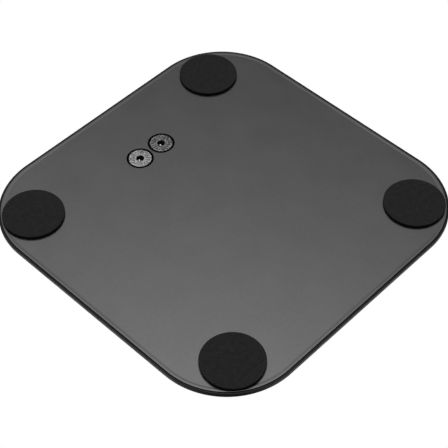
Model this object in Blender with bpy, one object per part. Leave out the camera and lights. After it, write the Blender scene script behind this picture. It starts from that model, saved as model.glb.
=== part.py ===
"""Digital bathroom scale: a steel pan in a plastic frame on four sprung feet, under a glass platform.

Metres, +Z up. The origin is on the floor, under the middle of the pan. +Y is the rear, display side.
"""

import math

import bmesh
import bpy
from mathutils import Vector
from mathutils.geometry import interpolate_bezier

GAP = 0.0003  # clearance between pieces that touch on the real object
CUT_BOTTOM = 0.001  # cutters start below and end above whatever they cut through
CUT_TOP = 0.012

# Plan of the body
HALF_SIDE = 0.150
CORNER_RADIUS = 0.066
CORNER_STEPS = 16

# Heights above the floor
UNDERSIDE = 0.00275
SHEET = 0.0008
PAN_FLOOR = UNDERSIDE + SHEET
SKIRT_BOTTOM = UNDERSIDE + 0.0003
SKIRT_TOP = UNDERSIDE + 0.0041
WEB_BOTTOM = 0.0072
PAN_RIM = WEB_BOTTOM - GAP
WEB_TOP = 0.0082
TAPE_BOTTOM = WEB_TOP + GAP
TAPE_TOP = TAPE_BOTTOM + 0.0004
GLASS_BOTTOM = TAPE_TOP + GAP
GLASS_TOP = GLASS_BOTTOM + 0.004

# Pan and frame: the pan nests inside the frame's skirt
SKIRT_WALL = 0.0015
SKIRT_EDGE_RADIUS = 0.0003
PAN_INSET = SKIRT_WALL + GAP
PAN_EDGE_RADIUS = 0.0004
FRAME_SHOULDER = 0.0042
GLASS_INSET = 0.006
GLASS_EDGE_RADIUS = 0.0011
GLASS_CHAMFER = 0.0005
TAPE_INSET = 0.0075
TAPE_WIDTH = 0.006

# Feet: each pad is bonded by hand over its stud, a little off the load cell's centre
CELL_X = 0.108
CELL_Y = 0.110
PAD_RADIUS = 0.0256
PAD_TOP = 0.0023
PAD_EDGE_RADIUS = 0.0005
PAD_CENTRES = {
    "front_left": (-0.1075, -0.1129),
    "front_right": (0.1081, -0.1132),
    "rear_left": (-0.0999, 0.1159),
    "rear_right": (0.1164, 0.1031),
}
STUD_FLANGE_RADIUS = 0.011
STUD_FLANGE_BOTTOM = 0.0013
STUD_NECK_RADIUS = 0.006
STUD_TOP = 0.0042
STUD_HOLE_RADIUS = 0.008

# Load cells
CELL_SIDE = 0.034
CELL_CORNER_RADIUS = 0.004
CELL_BOTTOM = 0.0049
CELL_TOP = 0.0061
TONGUE_HALF_WIDTH = 0.006
TONGUE_SLOT = 0.002
TONGUE_REACH = 0.010
GAUGE_HALF_X = 0.004
GAUGE_HALF_Y = 0.0028
GAUGE_CORNER_RADIUS = 0.001
GAUGE_OFFSET = 0.0055
GAUGE_THICKNESS = 0.0005
RETAINER_OUTER = 0.0235
RETAINER_INNER = 0.0145
RETAINER_TOP = 0.0046
RAIL_LENGTH = 0.030
RAIL_WIDTH = 0.003
RAIL_OFFSET = 0.0142
RAIL_INTO_WEB = 0.0004

# Battery ports
CAP_X = 0.01235
CAP_Y = 0.0865
PORT_RADIUS = 0.0115
CAP_RADIUS = 0.0112
CAP_TOP = 0.00475
CAP_CHAMFER = 0.0002
GASKET_THICKNESS = 0.0004
INSERT_RADIUS = 0.0096
INSERT_THICKNESS = 0.0012
INSERT_CHAMFER = 0.0002
HEX_ACROSS_FLATS = 0.006
COIN_RADIUS = 0.010
COIN_BOTTOM = 0.00505
COIN_TOP = 0.00825
COIN_RIM = 0.0003
COIN_STEP = 0.0011
COIN_WELL_RADIUS = 0.0104
WELL_STEP = 0.00575
HOLDER_HALF_X = 0.027
HOLDER_HALF_Y = 0.0145
HOLDER_TOP = 0.0083
HOLDER_CORNER_RADIUS = 0.002
NOTCH_HALF_X = 0.003
NOTCH_HALF_Y = 0.0010
CONTACT_THICKNESS = 0.0002
CONTACT_HALF_WIDTH = 0.002
CONTACT_REACH = 0.004

# Electronics bay, board and display, with each component's (x range, y range, height) on the board
BAY_HALF_X = 0.052
BAY_FRONT = 0.069
BAY_REAR = 0.1355
BAY_CORNER_RADIUS = 0.004
BOARD_HALF_X = 0.048
BOARD_FRONT = 0.1025
BOARD_REAR = 0.137
BOARD_BOTTOM = 0.0040
BOARD_TOP = 0.0048
BOARD_CORNER_RADIUS = 0.001
ON_BOARD = BOARD_TOP + GAP
CONTROLLER_CENTRE = (0.0415, 0.125)
CONTROLLER_DOME = ((0.0055, 0.0), (0.0050, 0.0006), (0.0034, 0.0011))
ADC_SIZE = ((-0.0445, -0.0385), (0.117, 0.126), 0.0014)
CRYSTAL_SIZE = ((-0.0455, -0.0375), (0.129, 0.1322), 0.0015)
CRYSTAL_CORNER_RADIUS = 0.0014
INDUCTOR_CENTRE = (0.0415, 0.1135)
INDUCTOR_RADIUS = 0.0021
INDUCTOR_HEIGHT = 0.0018
SOCKET_X = (0.0370, 0.0470)
SOCKET_FRONT = 0.104
SOCKET_DEPTH = 0.0045
SOCKET_HEIGHT = 0.0018
BLOCK_CORNER_RADIUS = 0.0004
DISPLAY_Y = 0.121
LCD_HALF_X = 0.031
LCD_HALF_Y = 0.012
LCD_BOTTOM = 0.0069
LCD_TOP = 0.0085
BEZEL_HALF_X = 0.035
BEZEL_HALF_Y = 0.0135
BEZEL_TOP = 0.0087
BEZEL_CORNER_RADIUS = 0.0015
BACKLIGHT_HALF_X = 0.030
BACKLIGHT_HALF_Y = 0.0098
BACKLIGHT_BOTTOM = 0.0055
BACKLIGHT_TOP = 0.0066
STRIP_HALF_X = 0.029
STRIP_HALF_Y = 0.0007
STRIP_OFFSET = 0.0111

# Leads: routes on the right-hand side, from the load cell to the board's socket
LEAD_RADIUS = 0.0008
LEAD_HEIGHT = 0.0058
LEAD_POINT_SPACING = 0.007
LEAD_START_X = CELL_X - CELL_SIDE / 2 - GAP
LEAD_END_Y = SOCKET_FRONT - GAP
LEAD_ROUTES = {
    "front": (
        (LEAD_START_X, -CELL_Y),
        (0.075, -0.107),
        (0.058, -0.094),
        (0.046, -0.070),
        (0.0395, -0.030),
        (0.0395, 0.030),
        (0.0395, 0.085),
        (0.0395, LEAD_END_Y),
    ),
    "rear": (
        (LEAD_START_X, CELL_Y),
        (0.078, 0.107),
        (0.066, 0.098),
        (0.055, 0.090),
        (0.0465, 0.090),
        (0.0445, 0.097),
        (0.0445, LEAD_END_Y),
    ),
}

ROUND_STEPS = 48
SMALL_ROUND_STEPS = 32
SMOOTH_ANGLE = math.radians(35)


def clear_scene():
    for obj in list(bpy.data.objects):
        bpy.data.objects.remove(obj, do_unlink=True)


def material(name, colour, roughness, metallic=0.0):
    made = bpy.data.materials.new(name)
    made.use_nodes = True
    shader = made.node_tree.nodes["Principled BSDF"]
    shader.inputs["Base Color"].default_value = (*colour, 1.0)
    shader.inputs["Roughness"].default_value = roughness
    shader.inputs["Metallic"].default_value = metallic
    return made


def make_object(name, shape, made_of, location=(0.0, 0.0, 0.0)):
    """Turns a bmesh into an object; the mesh is local to the location."""
    bmesh.ops.recalc_face_normals(shape, faces=shape.faces)
    mesh = bpy.data.meshes.new(name)
    shape.to_mesh(mesh)
    shape.free()
    mesh.shade_smooth()
    mesh.set_sharp_from_angle(angle=SMOOTH_ANGLE)
    obj = bpy.data.objects.new(name, mesh)
    obj.location = location
    if made_of is not None:
        mesh.materials.append(made_of)
    bpy.context.scene.collection.objects.link(obj)
    return obj


def cutter(shape, location=(0.0, 0.0, 0.0)):
    obj = make_object("cutter", shape, None, location)
    obj.hide_render = True
    obj.display_type = "WIRE"
    return obj


def boolean(target, tool, operation="DIFFERENCE"):
    modifier = target.modifiers.new(operation.lower(), "BOOLEAN")
    modifier.operation = operation
    modifier.solver = "EXACT"
    modifier.object = tool


def lofted(loops):
    """A closed body through loops of equally many points, with its first and last loop capped."""
    shape = bmesh.new()
    rings = [[shape.verts.new(point) for point in loop] for loop in loops]
    for lower, upper in zip(rings, rings[1:]):
        for i, corner in enumerate(lower):
            after = (i + 1) % len(lower)
            shape.faces.new((corner, lower[after], upper[after], upper[i]))
    shape.faces.new(list(reversed(rings[0])))
    shape.faces.new(rings[-1])
    return shape


def prism(outline, bottom, top):
    return lofted([[(x, y, z) for x, y in outline] for z in (bottom, top)])


def rectangle(half_x, half_y, centre=(0.0, 0.0)):
    corners = ((-1, -1), (1, -1), (1, 1), (-1, 1))
    return [(centre[0] + half_x * x, centre[1] + half_y * y) for x, y in corners]


def rounded_rectangle(half_x, half_y, radius, steps=6):
    points = []
    for quarter, (side_x, side_y) in enumerate(((1, 1), (-1, 1), (-1, -1), (1, -1))):
        for step in range(steps + 1):
            angle = math.radians(90) * (quarter + step / steps)
            x = side_x * (half_x - radius) + radius * math.cos(angle)
            y = side_y * (half_y - radius) + radius * math.sin(angle)
            points.append((x, y))
    return points


def body_outline(inset):
    half = HALF_SIDE - inset
    return rounded_rectangle(half, half, CORNER_RADIUS - inset, CORNER_STEPS)


def body_loft(profile):
    """A closed body whose outline is the scale's, inset and raised as the (inset, z) profile says."""
    return lofted([[(x, y, z) for x, y in body_outline(inset)] for inset, z in profile])


def circle(radius, steps=ROUND_STEPS):
    turn = 2 * math.pi / steps
    return [(radius * math.cos(turn * i), radius * math.sin(turn * i)) for i in range(steps)]


def turned(profile, steps=ROUND_STEPS):
    """A closed round body about Z from a (radius, z) profile that starts and ends on flat faces."""
    return lofted([[(x, y, z) for x, y in circle(radius, steps)] for radius, z in profile])


def ring(outer, inner, bottom, top, steps=ROUND_STEPS):
    shape = bmesh.new()
    section = ((outer, bottom), (outer, top), (inner, top), (inner, bottom))
    rings = [[shape.verts.new((x, y, z)) for x, y in circle(r, steps)] for r, z in section]
    for lower, upper in zip(rings, rings[1:] + rings[:1]):
        for i, corner in enumerate(lower):
            after = (i + 1) % steps
            shape.faces.new((corner, lower[after], upper[after], upper[i]))
    return shape


def quarter_round(radius, steps, start_degrees):
    """(sine, cosine) offsets along a quarter circle, for rounding an edge in a profile."""
    angles = [math.radians(start_degrees + 90 * i / steps) for i in range(steps + 1)]
    return [(radius * math.sin(a), radius * math.cos(a)) for a in angles]


def make_pan(steel):
    edge = quarter_round(PAN_EDGE_RADIUS, 3, 0)
    profile = [
        (PAN_INSET + PAN_EDGE_RADIUS - outward, UNDERSIDE + PAN_EDGE_RADIUS - downward)
        for outward, downward in edge
    ]
    inner_wall = PAN_INSET + SHEET
    profile += [(PAN_INSET, PAN_RIM), (inner_wall, PAN_RIM), (inner_wall, PAN_FLOOR)]
    pan = make_object("base_pan", body_loft(profile), steel)
    holes = [(x, y, STUD_HOLE_RADIUS) for x in (-CELL_X, CELL_X) for y in (-CELL_Y, CELL_Y)]
    holes += [(x, CAP_Y, PORT_RADIUS) for x in (-CAP_X, CAP_X)]
    for x, y, radius in holes:
        hole = turned([(radius, CUT_BOTTOM), (radius, CUT_TOP)])
        boolean(pan, cutter(hole, (x, y, 0)))


def make_mid_frame(plastic):
    edge = quarter_round(SKIRT_EDGE_RADIUS, 2, 0)
    profile = [(SKIRT_WALL, WEB_BOTTOM), (SKIRT_WALL, SKIRT_BOTTOM)]
    profile += [
        (SKIRT_EDGE_RADIUS - outward, SKIRT_BOTTOM + SKIRT_EDGE_RADIUS - downward)
        for outward, downward in edge
    ]
    profile += [(0, SKIRT_TOP), (FRAME_SHOULDER, WEB_TOP)]
    frame = make_object("mid_frame", body_loft(profile), plastic)
    rail_bottom = CELL_TOP + GAP
    for x in (-CELL_X, CELL_X):
        for y in (-CELL_Y, CELL_Y):
            for side in (-1, 1):
                outline = rectangle(RAIL_WIDTH / 2, RAIL_LENGTH / 2, (x + side * RAIL_OFFSET, y))
                rail = prism(outline, rail_bottom, WEB_BOTTOM + RAIL_INTO_WEB)
                boolean(frame, cutter(rail), "UNION")
    bay_centre = (BAY_FRONT + BAY_REAR) / 2
    bay = rounded_rectangle(BAY_HALF_X, (BAY_REAR - BAY_FRONT) / 2, BAY_CORNER_RADIUS)
    boolean(frame, cutter(prism(bay, CUT_BOTTOM, CUT_TOP), (0, bay_centre, 0)))


def make_glass(glass):
    top_edge = quarter_round(GLASS_EDGE_RADIUS, 4, 90)
    profile = [(GLASS_INSET + GLASS_CHAMFER, GLASS_BOTTOM)]
    profile.append((GLASS_INSET, GLASS_BOTTOM + GLASS_CHAMFER))
    profile += [
        (
            GLASS_INSET + GLASS_EDGE_RADIUS - outward,
            GLASS_TOP - GLASS_EDGE_RADIUS - downward,
        )
        for outward, downward in top_edge
    ]
    make_object("platform_glass", body_loft(profile), glass)


def make_tape(foam):
    outer = body_outline(TAPE_INSET)
    inner = body_outline(TAPE_INSET + TAPE_WIDTH)
    tape = make_object("bond_tape", prism(outer, TAPE_BOTTOM, TAPE_TOP), foam)
    boolean(tape, cutter(prism(inner, CUT_BOTTOM, CUT_TOP)))


def corner_centre(corner):
    end, side = corner.split("_")
    return (
        CELL_X if side == "right" else -CELL_X,
        CELL_Y if end == "rear" else -CELL_Y,
    )


def make_foot(corner, rubber, steel):
    pad_x, pad_y = PAD_CENTRES[corner]
    cell_x, cell_y = corner_centre(corner)
    profile = [
        (PAD_RADIUS - PAD_EDGE_RADIUS + outward, PAD_EDGE_RADIUS - downward)
        for outward, downward in quarter_round(PAD_EDGE_RADIUS, 3, 0)
    ]
    profile.append((PAD_RADIUS, PAD_TOP))
    pad = make_object(f"foot_pad_{corner}", turned(profile), rubber, (pad_x, pad_y, 0))
    pocket_radius = STUD_FLANGE_RADIUS + GAP
    pocket_floor = STUD_FLANGE_BOTTOM - GAP
    pocket = turned([(pocket_radius, pocket_floor), (pocket_radius, CUT_TOP)], SMALL_ROUND_STEPS)
    boolean(pad, cutter(pocket, (cell_x, cell_y, 0)))

    stud_profile = [
        (STUD_FLANGE_RADIUS, STUD_FLANGE_BOTTOM),
        (STUD_FLANGE_RADIUS, PAD_TOP),
        (STUD_NECK_RADIUS, PAD_TOP),
        (STUD_NECK_RADIUS, STUD_TOP),
    ]
    stud = turned(stud_profile, SMALL_ROUND_STEPS)
    make_object(f"foot_stud_{corner}", stud, steel, (cell_x, cell_y, 0))


def make_load_cell(corner, spring_steel, sealant, plastic):
    x, y = corner_centre(corner)
    inward = -1 if y > 0 else 1
    plate = rounded_rectangle(CELL_SIDE / 2, CELL_SIDE / 2, CELL_CORNER_RADIUS, 3)
    location = (x, y, 0)
    body = prism(plate, CELL_BOTTOM, CELL_TOP)
    cell = make_object(f"load_cell_{corner}", body, spring_steel, location)
    slot_half = TONGUE_HALF_WIDTH + TONGUE_SLOT
    slot_tip = -TONGUE_REACH - TONGUE_SLOT
    slot = [
        (-slot_half, slot_tip),
        (slot_half, slot_tip),
        (slot_half, TONGUE_REACH),
        (TONGUE_HALF_WIDTH, TONGUE_REACH),
        (TONGUE_HALF_WIDTH, -TONGUE_REACH),
        (-TONGUE_HALF_WIDTH, -TONGUE_REACH),
        (-TONGUE_HALF_WIDTH, TONGUE_REACH),
        (-slot_half, TONGUE_REACH),
    ]
    slot = [(across, along * inward) for across, along in slot]
    boolean(cell, cutter(prism(slot, CUT_BOTTOM, CUT_TOP), location))

    gauge_bottom = CELL_TOP + GAP
    gauge = rounded_rectangle(GAUGE_HALF_X, GAUGE_HALF_Y, GAUGE_CORNER_RADIUS, 3)
    gauge_location = (x, y + inward * GAUGE_OFFSET, 0)
    sealed = prism(gauge, gauge_bottom, gauge_bottom + GAUGE_THICKNESS)
    make_object(f"strain_gauge_{corner}", sealed, sealant, gauge_location)

    retainer = ring(RETAINER_OUTER, RETAINER_INNER, PAN_FLOOR + GAP, RETAINER_TOP, SMALL_ROUND_STEPS)
    make_object(f"cell_retainer_{corner}", retainer, plastic, location)


def smooth_route(points):
    """A smooth curve through the points, read at about LEAD_POINT_SPACING."""
    points = [Vector(point) for point in points]
    before = [points[0], *points[:-1]]
    after = [*points[1:], points[-1]]
    slopes = [(ahead - behind) / 6 for behind, ahead in zip(before, after)]
    route = [points[0]]
    for start, end, leave, arrive in zip(points, points[1:], slopes, slopes[1:]):
        steps = max(2, round((end - start).length / LEAD_POINT_SPACING))
        route += interpolate_bezier(start, start + leave, end - arrive, end, steps + 1)[1:]
    return route


def make_lead(corner, sheath):
    """A sheathed lead from the load cell's inner side to its socket on the board."""
    end, side = corner.split("_")
    sign = 1 if side == "right" else -1
    curve = bpy.data.curves.new(f"load_cell_lead_{corner}", "CURVE")
    curve.dimensions = "3D"
    curve.bevel_depth = LEAD_RADIUS
    curve.bevel_resolution = 2
    curve.use_fill_caps = True
    route = smooth_route([(sign * x, y, LEAD_HEIGHT) for x, y in LEAD_ROUTES[end]])
    spline = curve.splines.new("POLY")
    spline.points.add(len(route) - 1)
    for point, place in zip(spline.points, route):
        point.co = (*place, 1.0)
    curve.materials.append(sheath)
    lead = bpy.data.objects.new(f"load_cell_lead_{corner}", curve)
    bpy.context.scene.collection.objects.link(lead)


def block(name, made_of, x_range, y_range, z_range, radius=BLOCK_CORNER_RADIUS):
    half_x = (x_range[1] - x_range[0]) / 2
    half_y = (y_range[1] - y_range[0]) / 2
    centre = (x_range[0] + half_x, y_range[0] + half_y, 0)
    outline = rounded_rectangle(half_x, half_y, radius, 2)
    return make_object(name, prism(outline, *z_range), made_of, centre)


def on_board(name, made_of, size, radius=BLOCK_CORNER_RADIUS):
    x_range, y_range, height = size
    block(name, made_of, x_range, y_range, (ON_BOARD, ON_BOARD + height), radius)


def make_board(laminate, epoxy, ic_plastic, can_metal, ferrite, socket_plastic):
    width = (-BOARD_HALF_X, BOARD_HALF_X)
    depth = (BOARD_FRONT, BOARD_REAR)
    block("main_board", laminate, width, depth, (BOARD_BOTTOM, BOARD_TOP), BOARD_CORNER_RADIUS)

    dome = [(radius, ON_BOARD + height) for radius, height in CONTROLLER_DOME]
    chip = turned(dome, SMALL_ROUND_STEPS)
    make_object("controller_chip", chip, epoxy, (*CONTROLLER_CENTRE, 0))
    on_board("adc_chip", ic_plastic, ADC_SIZE)
    on_board("crystal", can_metal, CRYSTAL_SIZE, CRYSTAL_CORNER_RADIUS)
    core = [(INDUCTOR_RADIUS, ON_BOARD), (INDUCTOR_RADIUS, ON_BOARD + INDUCTOR_HEIGHT)]
    make_object("boost_inductor", turned(core, SMALL_ROUND_STEPS), ferrite, (*INDUCTOR_CENTRE, 0))

    for side, sign in (("left", -1), ("right", 1)):
        socket_x = sorted(sign * x for x in SOCKET_X)
        socket_y = (SOCKET_FRONT, SOCKET_FRONT + SOCKET_DEPTH)
        on_board(f"{side}_socket", socket_plastic, (socket_x, socket_y, SOCKET_HEIGHT))


def make_display(glass, plastic, diffuser, elastomer):
    centre = (0, DISPLAY_Y, 0)
    panel = prism(rectangle(LCD_HALF_X, LCD_HALF_Y), LCD_BOTTOM, LCD_TOP)
    make_object("lcd_panel", panel, glass, centre)

    bezel_outline = rounded_rectangle(BEZEL_HALF_X, BEZEL_HALF_Y, BEZEL_CORNER_RADIUS, 4)
    bezel = make_object("lcd_bezel", prism(bezel_outline, ON_BOARD, BEZEL_TOP), plastic, centre)
    opening = rectangle(LCD_HALF_X + GAP, LCD_HALF_Y + GAP)
    boolean(bezel, cutter(prism(opening, CUT_BOTTOM, CUT_TOP), centre))

    light_guide = rectangle(BACKLIGHT_HALF_X, BACKLIGHT_HALF_Y)
    make_object("backlight", prism(light_guide, BACKLIGHT_BOTTOM, BACKLIGHT_TOP), diffuser, centre)
    for end, sign in (("front", -1), ("rear", 1)):
        strip = prism(rectangle(STRIP_HALF_X, STRIP_HALF_Y), ON_BOARD, LCD_BOTTOM - GAP)
        place = (0, DISPLAY_Y + sign * STRIP_OFFSET, 0)
        make_object(f"{end}_zebra_strip", strip, elastomer, place)


def make_battery_holder(plastic):
    bottom = PAN_FLOOR + GAP
    outline = rounded_rectangle(HOLDER_HALF_X, HOLDER_HALF_Y, HOLDER_CORNER_RADIUS, 4)
    holder = make_object("battery_holder", prism(outline, bottom, HOLDER_TOP), plastic, (0, CAP_Y, 0))
    for x in (-CAP_X, CAP_X):
        well = turned(
            [
                (PORT_RADIUS, CUT_BOTTOM),
                (PORT_RADIUS, WELL_STEP),
                (COIN_WELL_RADIUS, WELL_STEP),
                (COIN_WELL_RADIUS, CUT_TOP),
            ]
        )
        boolean(holder, cutter(well, (x, CAP_Y, 0)))
        notch = prism(rectangle(NOTCH_HALF_X, NOTCH_HALF_Y), WELL_STEP + GAP, CUT_TOP)
        boolean(holder, cutter(notch, (x, CAP_Y - COIN_WELL_RADIUS, 0)))


def make_battery_port(side, sign, steel, black_plastic, rubber, cell_steel, contact_metal):
    x = sign * CAP_X
    on_axis = (x, CAP_Y, 0)
    pocket_radius = INSERT_RADIUS + GAP
    pocket_floor = UNDERSIDE + INSERT_THICKNESS + GAP
    cap_shape = turned(
        [
            (pocket_radius, pocket_floor),
            (pocket_radius, UNDERSIDE),
            (CAP_RADIUS - CAP_CHAMFER, UNDERSIDE),
            (CAP_RADIUS, UNDERSIDE + CAP_CHAMFER),
            (CAP_RADIUS, CAP_TOP),
        ]
    )
    make_object(f"battery_cap_{side}", cap_shape, black_plastic, on_axis)

    insert_shape = turned(
        [
            (INSERT_RADIUS - INSERT_CHAMFER, UNDERSIDE),
            (INSERT_RADIUS, UNDERSIDE + INSERT_CHAMFER),
            (INSERT_RADIUS, UNDERSIDE + INSERT_THICKNESS),
        ]
    )
    insert = make_object(f"cap_insert_{side}", insert_shape, steel, on_axis)
    hexagon = circle(HEX_ACROSS_FLATS / math.sqrt(3), 6)
    boolean(insert, cutter(prism(hexagon, CUT_BOTTOM, CUT_TOP), on_axis))

    gasket_bottom = CAP_TOP + GAP
    gasket = ring(CAP_RADIUS, COIN_RADIUS + GAP, gasket_bottom, gasket_bottom + GASKET_THICKNESS)
    make_object(f"cap_gasket_{side}", gasket, rubber, on_axis)

    coin_shape = turned(
        [
            (COIN_RADIUS - COIN_RIM, COIN_BOTTOM),
            (COIN_RADIUS, COIN_BOTTOM + COIN_RIM),
            (COIN_RADIUS, COIN_TOP - COIN_RIM),
            (COIN_RADIUS - COIN_RIM, COIN_TOP - COIN_RIM),
            (COIN_RADIUS - COIN_STEP, COIN_TOP),
        ],
        SMALL_ROUND_STEPS,
    )
    make_object(f"coin_cell_{side}", coin_shape, cell_steel, on_axis)

    leaf_bottom = COIN_TOP + GAP
    leaf_top = leaf_bottom + CONTACT_THICKNESS
    leg_front = SOCKET_FRONT - CONTACT_THICKNESS
    section = [
        (CAP_Y - CONTACT_REACH, leaf_bottom),
        (leg_front, leaf_bottom),
        (leg_front, ON_BOARD),
        (SOCKET_FRONT, ON_BOARD),
        (SOCKET_FRONT, leaf_top),
        (CAP_Y - CONTACT_REACH, leaf_top),
    ]
    sides = (-CONTACT_HALF_WIDTH, CONTACT_HALF_WIDTH)
    leaf = lofted([[(x + across, y, z) for y, z in section] for across in sides])
    make_object(f"top_contact_{side}", leaf, contact_metal)

    blade = rectangle(CONTACT_HALF_WIDTH, CONTACT_THICKNESS / 2)
    spring = prism(blade, WELL_STEP + 2 * GAP, HOLDER_TOP)
    spring_y = CAP_Y - COIN_RADIUS - GAP - CONTACT_THICKNESS
    make_object(f"side_contact_{side}", spring, contact_metal, (x, spring_y, 0))


def main():
    clear_scene()
    pan_steel = material("pan_steel", (0.085, 0.087, 0.090), 0.45, 0.6)
    black_plastic = material("black_plastic", (0.018, 0.018, 0.019), 0.42)
    frame_plastic = material("frame_plastic", (0.025, 0.026, 0.028), 0.50)
    grey_plastic = material("grey_plastic", (0.30, 0.31, 0.32), 0.55)
    platform = material("platform_glass", (0.010, 0.011, 0.013), 0.06)
    foam = material("foam_tape", (0.05, 0.05, 0.05), 0.95)
    rubber = material("rubber", (0.016, 0.016, 0.017), 0.80)
    seal_rubber = material("seal_rubber", (0.02, 0.02, 0.02), 0.60)
    bright_steel = material("bright_steel", (0.46, 0.46, 0.45), 0.34, 1.0)
    spring_steel = material("spring_steel", (0.52, 0.53, 0.54), 0.36, 1.0)
    sealant = material("sealant", (0.80, 0.80, 0.78), 0.60)
    sheath = material("lead_sheath", (0.55, 0.56, 0.57), 0.50)
    laminate = material("board_laminate", (0.03, 0.16, 0.07), 0.45)
    epoxy = material("chip_epoxy", (0.01, 0.01, 0.01), 0.35)
    ic_plastic = material("chip_plastic", (0.02, 0.02, 0.02), 0.55)
    can_metal = material("can_metal", (0.70, 0.70, 0.68), 0.25, 1.0)
    ferrite = material("ferrite", (0.07, 0.065, 0.06), 0.70)
    socket_plastic = material("socket_plastic", (0.80, 0.78, 0.70), 0.50)
    display_glass = material("display_glass", (0.42, 0.46, 0.40), 0.12)
    diffuser = material("diffuser", (0.85, 0.86, 0.88), 0.50)
    elastomer = material("elastomer", (0.55, 0.30, 0.32), 0.70)
    cell_steel = material("cell_steel", (0.66, 0.66, 0.65), 0.22, 1.0)
    contact_metal = material("contact_metal", (0.78, 0.66, 0.42), 0.30, 1.0)

    make_pan(pan_steel)
    make_mid_frame(frame_plastic)
    make_glass(platform)
    make_tape(foam)
    for corner in PAD_CENTRES:
        make_foot(corner, rubber, bright_steel)
        make_load_cell(corner, spring_steel, sealant, grey_plastic)
        make_lead(corner, sheath)
    make_board(laminate, epoxy, ic_plastic, can_metal, ferrite, socket_plastic)
    make_display(display_glass, grey_plastic, diffuser, elastomer)
    make_battery_holder(black_plastic)
    for side, sign in (("left", -1), ("right", 1)):
        make_battery_port(
            side, sign, bright_steel, black_plastic, seal_rubber, cell_steel, contact_metal
        )


main()
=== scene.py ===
"""Looks of a digital bathroom scale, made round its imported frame: meshes, materials, light and camera.

Metres, +Z up, on the frame's own axes. The camera looks up at the underside, so that is the main face.
"""

import math
import bmesh
import bpy
from mathutils import Matrix, Vector


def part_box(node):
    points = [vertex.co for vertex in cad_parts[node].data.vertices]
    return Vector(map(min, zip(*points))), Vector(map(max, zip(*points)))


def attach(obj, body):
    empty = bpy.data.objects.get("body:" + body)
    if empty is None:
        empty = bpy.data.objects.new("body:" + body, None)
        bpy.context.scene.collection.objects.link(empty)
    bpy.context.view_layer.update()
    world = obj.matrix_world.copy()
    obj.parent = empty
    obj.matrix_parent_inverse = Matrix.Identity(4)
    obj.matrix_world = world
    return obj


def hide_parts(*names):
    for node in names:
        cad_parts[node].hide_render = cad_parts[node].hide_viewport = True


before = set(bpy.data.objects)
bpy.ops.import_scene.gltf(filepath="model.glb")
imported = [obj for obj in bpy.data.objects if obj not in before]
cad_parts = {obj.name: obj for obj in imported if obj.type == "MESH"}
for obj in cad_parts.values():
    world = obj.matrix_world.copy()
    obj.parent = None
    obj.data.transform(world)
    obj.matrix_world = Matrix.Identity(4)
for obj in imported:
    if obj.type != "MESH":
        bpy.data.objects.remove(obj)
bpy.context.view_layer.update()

ROOT = "scale_body"
CORNERS = ("front_left", "front_right", "rear_left", "rear_right")
SIDES = ("left", "right")

# Camera
CAMERA_PLACE = Vector((0.50757, -0.49150, -0.80373))
CAMERA_AIM = Vector((0.01583, -0.01530, 0.00275))
CAMERA_ROLL = math.radians(-0.1631)
CAMERA_LENS_MM = 104.99
SENSOR_MM = 36.0
CLIP_START = 0.01
CLIP_END = 50.0

# Sky: an even glow, and lobes as (direction, sharpness, strength)
AMBIENT = 0.03
SKY_LOBES = (
    ((0.0, 0.0, -1.0), 8.0, 2.2),
    ((-0.3, 0.3, -1.0), 32.0, 2.15),
    ((0.0, 0.9, -1.0), 16.0, 0.70),
    ((-0.7, 0.7, 0.05), 5.0, 0.3),
    ((0.465, 0.451, 0.76), 12.0, 1.25),
    ((-0.465, -0.451, 0.76), 12.0, 1.20),
    ((0.0, 0.0, 1.0), 2.0, 0.15),
)

# Lamp and floor
LAMP_PLACE = Vector((-1.6, 1.6, 3.0))
LAMP_AIM = Vector((0.0, 0.0, 0.0))
LAMP_SIZE = 2.4
LAMP_WATTS = 72.0
FLOOR_HALF = 4.0
FLOOR_GAP = 0.00008

# Body
CORNER_RADIUS = 0.066
CORNER_STEPS = 40
SHEET = 0.0008
SHEET_RIM_CHAMFER = SHEET * 0.2
PAN_EDGE_RADIUS = 0.0004
BEAD_FLAT = 0.0013
BEAD_WIDTH = 0.0022
BEAD_DEPTH = 0.00010
BEAD_STEPS = 10
GAP = 0.0003

# Plastic frame
SKIRT_WALL = 0.0015
SKIRT_TOP = 0.00685
SKIRT_EDGE_RADIUS = 0.0003
SKIRT_TOP_RADIUS = 0.0004
SKIRT_INNER_CHAMFER = 0.0001
WEB_THICKNESS = 0.0010
SHOULDER_INSET = 0.0042
SHOULDER_RADIUS = 0.0006
SHOULDER_SLOPE = 0.4
BAY_HALF_X = 0.052
BAY_HALF_Y = 0.03325
BAY_CENTRE = (0.0, 0.10225)
BAY_CORNER_RADIUS = 0.004
RAIL_HALF_X = 0.0015
RAIL_HALF_Y = 0.015
RAIL_OFFSET = 0.0142
RAIL_CORNER_RADIUS = 0.0004

# Glass and the enamel on its back
GLASS_LOW_RADIUS = 0.0006
GLASS_HIGH_RADIUS = 0.0011
PRINT_GAP = 0.00004
PRINT_THICKNESS = 0.00006
PRINT_MARGIN = 0.0003

# Openings in the underside
STUD_HOLE_RADIUS = 0.008
PORT_RADIUS = 0.0115
HOLE_LIP = 0.00012

# Feet
POCKET_RADIUS = 0.0113
POCKET_FLOOR = 0.0010
PAD_ROUND = 0.0006
PAD_TOP_CHAMFER = 0.0002
BEAD_CLEARANCE = 0.00015

# Metal disc of a battery cap: a hexagon socket, a turned groove and a ring of radial slots
HEX_APOTHEM = 0.003
HEX_CHAMFER = 0.00035
GROOVE_RADII = (0.0047, 0.0051)
GROOVE_DEPTH = 0.00012
SLOTS = 18
SLOT_RADII = (0.0062, 0.0080)
SLOT_DEPTH = 0.00045
SLOT_SHARE = 0.33
DISC_WALL = 0.0001
DISC_EDGE = 0.00015
DISC_EDGE_MIDDLE = 0.00004
RIVET_RADIUS = 0.0012
RIVET_HEIGHT = 0.0012
RIVET_OFFSET = Vector((0.0016, -0.0007, 0.0))
RIVET_FLAT_RADIUS = 0.0001

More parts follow.
